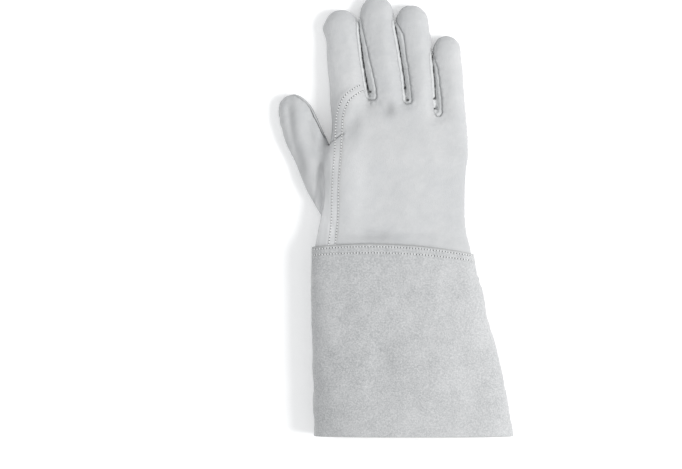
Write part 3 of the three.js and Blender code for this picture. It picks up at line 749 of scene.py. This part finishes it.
cuff = {
    # y, left, right, bottom, top, slant, bow
    "rows": [
        (-176.0, -66.2, 94.3, 0, 47.6, 0, 0), (-148, -66.5, 89.2, 0, 47.4, 0, 0),
        (-120, -66.8, 83.2, 0, 46.6, 0, 0), (-92, -67.0, 76.4, 0, 45.2, 0, 0),
        (-64, -67.2, 69.2, 0, 43.0, 0, 0), (-42, -67.4, 65.0, 0, 41.0, -0.02, 2.5),
        (-23.2, -67.2, 62.4, 0, 39.6, -0.044, 4.8),
    ],
    "mouth": -175.4, "edge": -23.4, "thickness": 1.9,
    "around": 264,
    "stitchRows": (1.5, 6.3), "rowDepth": 0.22,  # below the top edge
    "seamDepth": 1.2, "seamWidth": 2.6,
    # size, height, reach and seed of the puckers beside the stitches and beside the seam
    "edgePucker": (5.5, 0.20, 7, 40), "seamPucker": (6, 0.3, 5, 41),
    "waves": [(46, 0.6, 31), (20, 0.24, 32), (7, 0.10, 33), (3.2, 0.045, 34)],
    "patches": [
        (30, -92, 4, 62, 20, 1.6), (-12, -120, -4, 54, 18, -2.2), (-44, -70, 6, 50, 14, -1.2),
        (62, -140, 12, 40, 16, -1.0), (10, -52, 80, 40, 10, -0.8), (-30, -160, 70, 36, 10, 1.0),
        (48, -60, 20, 30, 12, -0.9),
    ],
}


# Points of the cuff's outer face at heights y, all the way round, before its relief.
def cuffRings(ys, sides):
    ys = np.asarray(ys)
    known = np.clip(ys, cuff["rows"][0][0], cuff["rows"][-1][0])
    share = smoothStep(-ys, 40, 110)
    rows = smoothTable(cuff["rows"], known)
    rings = ringPoints(sides, *rows.T, 0.56 - 0.12 * share, 2.6 - 0.2 * share, 4.0)
    rings[..., 1] += (ys - known)[:, None]
    return rings


# Outward normals of a grid of rings; a quarter of the way round a ring is its top.
def gridNormals(g):
    around = np.roll(g, -1, 1) - np.roll(g, 1, 1)
    n = np.cross(around, np.gradient(g, axis=0))
    n /= np.maximum(np.linalg.norm(n, axis=-1, keepdims=True), 1e-9)
    return n if n[len(n) // 2, g.shape[1] // 4, 2] > 0 else -n


# How far the worked cuff stands off its plain grid g, along the normals n.
def cuffRelief(g, n, ys):
    p = g.reshape(-1, 3)
    up = smoothStep(n[..., 2], 0.0, 0.4).ravel()
    down = smoothStep(-n[..., 2], 0.05, 0.4).ravel()
    out = up * softPatches(p, cuff["patches"])
    for size, height, seed in cuff["waves"]:
        out += height * waves(p, size, seed) * (1 - 0.85 * down)
    fromEdge = np.broadcast_to((cuff["edge"] - ys)[:, None], g.shape[:2]).ravel()
    out *= 0.35 + 0.65 * smoothStep(fromEdge, 1, 22)
    for row in cuff["stitchRows"]:
        out -= cuff["rowDepth"] * np.exp(-(((fromEdge - row) / leather["rowWidth"]) ** 2))
    size, height, reach, seed = cuff["edgePucker"]
    out += height * waves(p, size, seed) * np.exp(-fromEdge / reach)
    # The seam down the little finger's side.
    girth = np.linalg.norm(np.diff(g, axis=1, append=g[:, :1]), axis=-1)
    arc = np.cumsum(girth, 1) - girth
    arc = np.minimum(arc, girth.sum(1)[:, None] - arc).ravel()
    out += seamGroove(arc, cuff["seamWidth"], cuff["seamDepth"])
    size, height, reach, seed = cuff["seamPucker"]
    out += height * waves(p, size, seed) * np.exp(-arc / reach)
    return out.reshape(g.shape[:2])


print("making the cuff", flush=True)
# Rings stand close together at the stitched edge, and further apart below it.
edgeRows = cuff["edge"] - np.concatenate([np.arange(0, 9.5, 0.38), np.arange(9.8, 152, 1.35)])
edgeRows = np.concatenate([edgeRows[edgeRows > cuff["mouth"] + 0.6], [cuff["mouth"]]])[::-1]
cuffGrid = cuffRings(edgeRows, cuff["around"])
cuffNormals = gridNormals(cuffGrid)
cuffLift = cuffRelief(cuffGrid, cuffNormals, edgeRows)
cuffOuter = cuffGrid + cuffNormals * cuffLift[..., None]
cuffOuter[..., 2] = np.maximum(cuffOuter[..., 2], 0)
half = cuff["thickness"] / 2
inward = -cuffNormals
cuffInner = cuffGrid + inward * (cuff["thickness"] - 0.6 * cuffLift[..., None])


# The rounded cut edge, from one face over to the other; reach is how far it stands out in y.
def roundEdge(face, over, reach):
    turns = np.linspace(0, np.pi, 6)[1:-1, None, None]
    return [*(face + over * half * (1 - np.cos(turns)) + np.array([0, reach, 0]) * half * np.sin(turns))]


ringsAll = [*cuffOuter, *roundEdge(cuffOuter[-1], inward[-1], 0.8)]
ringsAll += [*cuffInner[::-1], *roundEdge(cuffInner[0], -inward[0], -0.5)]
rows, sides = len(ringsAll), cuff["around"]
cuffFaces = gridQuads(rows, sides, loop=True)[:, ::-1]
cuffObject = meshObject("cuff_suede", np.concatenate(ringsAll), cuffFaces)
cuffObject.data.shade_smooth()
# Outside, inside, and all else is cut edge
faceKind = np.full(rows, 2)
faceKind[: len(cuffOuter) - 1] = 0
faceKind[len(cuffOuter) + 3 : rows - 5] = 1
cuffObject.data.polygons.foreach_set("material_index", np.repeat(faceKind, sides))
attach(cuffObject, "root")
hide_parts("cuff")
print("   cuff", len(cuffObject.data.polygons), flush=True)


thread = {
    "radius": 0.40, "pitch": 2.4, "share": 0.68, "arch": 0.42, "sink": -0.06,
    "hole": 0.46, "holeLift": 0.2,
}


# A row of stitches over points with normals, as one mesh.
def stitchRow(points, normals, seed):
    s = thread
    key = np.concatenate([[0], np.cumsum(np.linalg.norm(np.diff(points, axis=0), axis=1))])
    rng = np.random.default_rng(seed)
    verts, quads, dark = [], [], []
    sides, steps = 7, 7

    def between(values, spot):
        return np.stack([np.interp(spot, key, values[:, d]) for d in range(3)], -1)

    at = 0.6
    while at + s["pitch"] < key[-1]:
        length = s["pitch"] * s["share"] * rng.uniform(0.94, 1.04)
        t = np.linspace(0, 1, steps)
        line, n = between(points, at + t * length), between(normals, at + t * length)
        way = line[-1] - line[0]
        way /= np.linalg.norm(way)
        side = np.cross(way, n.mean(0))
        side /= np.linalg.norm(side)
        line = line + n * (s["sink"] + s["arch"] * np.sin(np.pi * t) ** 0.6)[:, None]
        line += side * rng.uniform(-0.07, 0.07)
        fat = s["radius"] * (0.55 + 0.45 * np.sin(np.pi * t) ** 0.5)
        base = len(verts)
        for q in range(steps):
            for k in range(sides):
                a = 2 * np.pi * k / sides
                verts.append(line[q] + fat[q] * (side * math.cos(a) + n[q] * math.sin(a)))
        quads += (base + gridQuads(steps, sides)).tolist()
        quads.append(tuple(base + k for k in range(sides))[::-1])
        quads.append(tuple(base + (steps - 1) * sides + k for k in range(sides)))
        dark += [0] * (sides * (steps - 1) + 2)
        # The needle hole between this stitch and the next, a disc painted near-black as the shade in the
        # hole.
        gap = at + (length + s["pitch"]) / 2
        spot = between(points, gap) + n[-1] * s["holeLift"]
        base = len(verts)
        for a in np.linspace(0, 2 * np.pi, 9)[:-1]:
            verts.append(spot + s["hole"] * (side * math.cos(a) + way * math.sin(a)))
        verts.append(spot + n[-1] * 0.02)
        quads += [(base + k, base + (k + 1) % 8, base + 8) for k in range(8)]
        dark += [1] * 8
        at += s["pitch"] * rng.uniform(0.97, 1.03)
    return verts, quads, dark


# All rows of one seam as one piece, which stays above the floor.
def stitchObject(name, rows):
    verts, quads, dark = [], [], []
    for i, (points, n) in enumerate(rows):
        v, q, d = stitchRow(points, n, 50 + i)
        quads += [tuple(a + len(verts) for a in face) for face in q]
        verts += [(x, y, max(z, 0.02)) for x, y, z in v]
        dark += d
    obj = meshObject(name, verts, quads)
    obj.data.polygons.foreach_set("material_index", dark)
    obj.data.shade_smooth()
    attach(obj, "root")
    print("   stitches", name, len(quads), flush=True)
    return obj


# Lays a plan line on the leather from above.
def laidOn(line, objects):
    trees = []
    for mesh in (o.data for o in objects):
        corners = [p.vertices for p in mesh.polygons]
        trees.append(BVHTree.FromPolygons([v.co for v in mesh.vertices], corners))
    points, normalsUp = [], []
    for px, py in line:
        best = None
        for tree in trees:
            hit, n, _, _ = tree.ray_cast(Vector((px * mm, py * mm, 0.08)), Vector((0, 0, -1)))
            if hit is not None and (best is None or hit.z > best[0].z):
                best = (hit, n)
        if best:
            points.append(np.array(best[0]) / mm)
            normalsUp.append(np.array(best[1]))
    points, normalsUp = np.array(points), np.array(normalsUp)
    window = np.ones(5) / 5
    for arr in (points, normalsUp):
        for d in range(3):
            arr[2:-2, d] = np.convolve(arr[:, d], window, "valid")
    return points, normalsUp / np.linalg.norm(normalsUp, axis=1)[:, None]


# The line that runs beside another one, to its left.
def besideLine(line, distance):
    way = np.gradient(line, axis=0)
    way /= np.linalg.norm(way, axis=1)[:, None]
    return line + np.stack([-way[:, 1], way[:, 0]], 1) * distance


print("stitching", flush=True)
lapRows = []
for distance, last in zip(leather["lapRows"], (100.4, 106)):
    line = besideLine(chain(lapPlaces, 30), distance)
    line = line[(line[:, 1] > -24.5) & (line[:, 1] < last)]
    lapRows.append(laidOn(line, [leatherPieces["thumb_panel"], leatherPieces["palm_panel"]]))
lapStitches = stitchObject("lap_stitches", lapRows)
cuffRows = []
for below in cuff["stitchRows"]:
    at = cuff["edge"] - below + np.array([-0.4, 0, 0.4])
    g = cuffRings(at, 720)
    n = gridNormals(g)
    lifted = g + n * cuffRelief(g, n, at)[..., None]
    ring = np.concatenate([lifted[1], lifted[1, :3]])
    ring[:, 2] = np.maximum(ring[:, 2], 0.25)
    cuffRows.append((ring, np.concatenate([n[1], n[1, :3]])))
cuffStitches = stitchObject("cuff_stitches", cuffRows)


# A node group that takes a vector and numbers, and gives masks and a height.
def socketGroup(name, numbers, outputs):
    group = bpy.data.node_groups.new(name, "ShaderNodeTree")
    group.interface.new_socket("Vector", in_out="INPUT", socket_type="NodeSocketVector")
    for label, value in numbers.items():
        made = group.interface.new_socket(label, in_out="INPUT", socket_type="NodeSocketFloat")
        made.default_value = value
    for label in outputs:
        group.interface.new_socket(label, in_out="OUTPUT", socket_type="NodeSocketFloat")
    return group, group.nodes.new("NodeGroupInput"), group.nodes.new("NodeGroupOutput")


# Sets a node's inputs to plain values, or links them to other nodes' outputs.
def feed(tree, node, inputs):
    for key, value in inputs.items():
        if isinstance(value, (int, float, tuple)):
            node.inputs[key].default_value = value
        else:
            tree.links.new(value, node.inputs[key])


def addNode(tree, kind, inputs, **settings):
    node = tree.nodes.new(kind)
    for key, value in settings.items():
        setattr(node, key, value)
    feed(tree, node, inputs)
    return node


def mathNode(tree, operation, a, b):
    return addNode(tree, "ShaderNodeMath", {0: a, 1: b}, operation=operation).outputs[0]


# The sum of two values, each with its weight.
def blendOf(tree, a, weightA, b, weightB):
    weighted = mathNode(tree, "MULTIPLY", a, weightA)
    return mathNode(tree, "ADD", weighted, mathNode(tree, "MULTIPLY", b, weightB))


def noiseNode(tree, vector, scale, detail=3.0, rough=0.55):
    inputs = {"Vector": vector, "Scale": scale, "Detail": detail, "Roughness": rough}
    return addNode(tree, "ShaderNodeTexNoise", inputs).outputs["Fac"]


def rampNode(tree, value, low, high, outLow=0.0, outHigh=1.0):
    inputs = {"Value": value, "From Min": low, "From Max": high, "To Min": outLow, "To Max": outHigh}
    return addNode(tree, "ShaderNodeMapRange", inputs).outputs["Result"]


# Fine pebbled grain of smooth leather: a mottled mask, a pore mask and a height.
def grainGroup():
    tree, enter, leave = socketGroup("pebbledGrain", {"Cell": 900.0}, ("Mottle", "Pores", "Height"))
    v = enter.outputs["Vector"]
    broad = noiseNode(tree, v, 26, 4.0, 0.6)
    middle = noiseNode(tree, v, 150, 3.0)
    noise = addNode(tree, "ShaderNodeTexNoise", {"Vector": v, "Scale": 500})
    bent = {0: noise.outputs["Color"], 1: (0.0006, 0.0006, 0.0006), 2: v}
    warp = addNode(tree, "ShaderNodeVectorMath", bent, operation="MULTIPLY_ADD")
    spread = {"Vector": warp.outputs[0], "Scale": enter.outputs["Cell"]}
    cells = addNode(tree, "ShaderNodeTexVoronoi", spread, feature="DISTANCE_TO_EDGE")
    pebble = rampNode(tree, cells.outputs["Distance"], 0.0, 0.28)
    pores = noiseNode(tree, v, 1700, 2.0)
    fine = noiseNode(tree, v, 2600, 2.0)
    height = blendOf(tree, pebble, 0.6, fine, 0.25)
    feed(tree, leave, {
        "Mottle": blendOf(tree, broad, 0.65, middle, 0.35),
        "Pores": rampNode(tree, pores, 0.28, 0.44, 1.0, 0.0),
        "Height": blendOf(tree, height, 1.0, middle, 0.9),
    })
    return tree


# Napped split leather: short fibres that lie in drifts.
def napGroup():
    tree, enter, leave = socketGroup("suedeNap", {}, ("Drift", "Speckle", "Height"))
    v = enter.outputs["Vector"]
    drift = noiseNode(tree, v, 15, 5.0, 0.62)
    cloud = noiseNode(tree, v, 90, 4.0, 0.65)
    speckle = noiseNode(tree, v, 830, 5.0, 0.80)
    fibre = noiseNode(tree, v, 1900, 4.0, 0.8)
    tuft = noiseNode(tree, v, 520, 3.0, 0.6)
    feed(tree, leave, {
        "Drift": blendOf(tree, drift, 0.6, cloud, 0.4), "Speckle": rampNode(tree, speckle, 0.40, 0.62),
        "Height": blendOf(tree, fibre, 0.7, tuft, 0.8),
    })
    return tree


def newMaterial(name):
    mat = bpy.data.materials.new(name)
    mat.use_nodes = True
    tree = mat.node_tree
    shader = tree.nodes["Principled BSDF"]
    where = addNode(tree, "ShaderNodeTexCoord", {}).outputs["Object"]
    return mat, tree, shader, where


def mixColour(tree, factor, a, b):
    return addNode(tree, "ShaderNodeMix", {0: factor, 6: a, 7: b}, data_type="RGBA").outputs[2]


# A colour made darker or paler.
def toned(colour, share):
    return tuple(c * share for c in colour[:3]) + (1,)


def bumpOf(tree, height, distance):
    return addNode(tree, "ShaderNodeBump", {"Height": height, "Distance": distance}).outputs["Normal"]


def attributeOf(tree, name):
    return addNode(tree, "ShaderNodeAttribute", {}, attribute_name=name).outputs["Fac"]


grain, nap = grainGroup(), napGroup()


def grainLeather(name, pale, deep, cell=820.0):
    mat, tree, shader, where = newMaterial(name)
    g = addNode(tree, "ShaderNodeGroup", {"Vector": where, "Cell": cell}, node_tree=grain)
    tone = rampNode(tree, g.outputs["Mottle"], 0.36, 0.64)
    colour = mixColour(tree, tone, deep, pale)
    # Painted shade in the seam grooves, darker nearer the seam
    seamShade = rampNode(tree, attributeOf(tree, "seamAway"), 0.0, 1.3, 0.55, 0.0)
    # Painted shade, and painted light where the layer is negative
    paintedShade = attributeOf(tree, "shade")
    paintedLight = mathNode(tree, "MULTIPLY", paintedShade, -1.0)
    pored = mathNode(tree, "MULTIPLY", g.outputs["Pores"], 0.16)
    # Near-black painted shade in pits, crevices and the thumb's fork seam
    deepShade = rampNode(tree, attributeOf(tree, "hole"), 0.25, 0.8)
    for factor, over in (
        (seamShade, toned(deep, 0.55)), (paintedShade, toned(deep, 0.72)), (paintedLight, toned(pale, 1.4)),
        (pored, toned(deep, 0.7)), (deepShade, (0.03, 0.03, 0.03, 1)),
    ):
        colour = mixColour(tree, factor, colour, over)
    rough = rampNode(tree, g.outputs["Mottle"], 0.3, 0.7, 0.62, 0.5)
    normal = bumpOf(tree, g.outputs["Height"], 0.00013)
    feed(tree, shader, {
        "Base Color": colour, "Roughness": rough, "Specular IOR Level": 0.35, "Normal": normal,
    })
    return mat


def suede(name, pale, deep, speck, depth=0.0004):
    mat, tree, shader, where = newMaterial(name)
    g = addNode(tree, "ShaderNodeGroup", {"Vector": where}, node_tree=nap)
    colour = mixColour(tree, rampNode(tree, g.outputs["Drift"], 0.34, 0.66), deep, pale)
    colour = mixColour(tree, mathNode(tree, "MULTIPLY", g.outputs["Speckle"], 0.68), colour, speck)
    rough = rampNode(tree, g.outputs["Drift"], 0.3, 0.7, 0.97, 0.86)
    feed(tree, shader, {
        "Base Color": colour, "Roughness": rough, "Specular IOR Level": 0.15,
        "Sheen Weight": 0.25, "Sheen Roughness": 0.6, "Normal": bumpOf(tree, g.outputs["Height"], depth),
    })
    return mat


def threadMaterial():
    mat, tree, shader, where = newMaterial("cottonThread")
    inputs = {"Vector": where, "Scale": 900, "Distortion": 1.5}
    twist = addNode(tree, "ShaderNodeTexWave", inputs, wave_type="BANDS", bands_direction="DIAGONAL")
    colour = mixColour(tree, twist.outputs["Fac"], tones["threadDeep"], tones["threadPale"])
    normal = bumpOf(tree, twist.outputs["Fac"], 0.00008)
    feed(tree, shader, {"Base Color": colour, "Roughness": 0.7, "Normal": normal})
    return mat


print("finishing the surfaces", flush=True)
tones = {
    "pale": (0.585, 0.588, 0.59, 1), "deep": (0.525, 0.533, 0.54, 1),
    "stripPale": (0.74, 0.745, 0.745, 1), "stripDeep": (0.67, 0.68, 0.685, 1),
    "flesh": (0.50, 0.50, 0.49, 1), "fleshDeep": (0.41, 0.41, 0.40, 1),
    "edgeDeep": (0.33, 0.335, 0.335, 1),
    "suedePale": (0.48, 0.485, 0.49, 1), "suedeDeep": (0.34, 0.35, 0.355, 1),
    "suedeSpeck": (0.70, 0.70, 0.70, 1),
    "threadPale": (0.93, 0.93, 0.92, 1), "threadDeep": (0.80, 0.81, 0.81, 1),
    "holePale": (0.09, 0.09, 0.09, 1), "holeDeep": (0.05, 0.05, 0.05, 1), "holeSpeck": (0.14, 0.14, 0.14, 1),
}
handLeather = grainLeather("paleGrainLeather", tones["pale"], tones["deep"])
# The strips' leather is paler: partly a paler leather, partly painted light on strips that stand steep in
# their slots
stripLeather = grainLeather("stripLeather", tones["stripPale"], tones["stripDeep"], 1000.0)
fleshSide = suede("fleshSide", tones["flesh"], tones["fleshDeep"], tones["suedeSpeck"], 0.0003)
# Cut edges are painted dark: partly the raw edge's own colour, partly painted shade for the thin dark line
# along the cuff's top edge
cutEdge = suede("cutLeatherEdge", tones["fleshDeep"], tones["edgeDeep"], tones["flesh"], 0.0002)
cuffSuede = suede("cuffSuede", tones["suedePale"], tones["suedeDeep"], tones["suedeSpeck"])
cuffInside = suede("cuffInside", tones["flesh"], tones["fleshDeep"], tones["suedeSpeck"], 0.0003)
for name, obj in leatherPieces.items():
    for mat in (stripLeather if name.startswith("fourchette") else handLeather, fleshSide, cutEdge):
        obj.data.materials.append(mat)
for mat in (cuffSuede, cuffInside, cutEdge):
    cuffObject.data.materials.append(mat)
threadMat = threadMaterial()
# Discs painted near-black as the shade in each needle hole
holeShadeMaterial = suede("needleHoleShade", tones["holePale"], tones["holeDeep"], tones["holeSpeck"])
for obj in (lapStitches, cuffStitches):
    obj.data.materials.append(threadMat)
    obj.data.materials.append(holeShadeMaterial)


print("floor, light and camera", flush=True)
studio = {
    "floor": (0.95, 0.95, 0.95, 1), "floorGlow": 0.2, "ambient": 0.60,
    # name, energy, size, place
    "lamps": [
        ("key", 46.0, 1.0, (1.75, -0.25, 1.95)), ("overhead", 6.0, 2.2, (0.1, 0.2, 2.6)),
        ("left", 3.0, 1.6, (-1.8, -0.4, 1.2)),
    ],
    "height": 3.0, "centre": (-0.044, -0.0148),
    "span": 0.5456, "spanHeight": 0.02,  # how broad the picture is, at that height above the floor
}
floorMesh = bpy.data.meshes.new("floor")
floorMesh.from_pydata([(-4, -4, 0), (4, -4, 0), (4, 4, 0), (-4, 4, 0)], [], [(0, 1, 2, 3)])
floorObject = link(bpy.data.objects.new("floor", floorMesh))
floorMat = bpy.data.materials.new("paleFloor")
floorMat.use_nodes = True
feed(floorMat.node_tree, floorMat.node_tree.nodes["Principled BSDF"], {
    "Base Color": studio["floor"], "Roughness": 0.9, "Specular IOR Level": 0.1,
    "Emission Color": (1, 1, 1, 1), "Emission Strength": studio["floorGlow"],
})
floorMesh.materials.append(floorMat)
camera = bpy.data.cameras.new("camera")
camera.sensor_width = 36
camera.sensor_fit = "HORIZONTAL"
camera.lens = camera.sensor_width * (studio["height"] - studio["spanHeight"]) / studio["span"]
cameraObject = link(bpy.data.objects.new("camera", camera))
cameraObject.location = (*studio["centre"], studio["height"])
bpy.context.scene.camera = cameraObject
world = bpy.context.scene.world or bpy.data.worlds.new("world")
bpy.context.scene.world = world
world.use_nodes = True
sky = {"Color": (0.97, 0.985, 1.0, 1), "Strength": studio["ambient"]}
feed(world.node_tree, world.node_tree.nodes["Background"], sky)
for name, energy, size, place in studio["lamps"]:
    lamp = bpy.data.lights.new(name, "AREA")
    lamp.energy = energy
    lamp.size = size
    lampObject = link(bpy.data.objects.new(name, lamp))
    lampObject.location = place
    lampObject.rotation_euler = Vector(place).to_track_quat("Z", "Y").to_euler()
bpy.context.scene.view_settings.view_transform = "Standard"
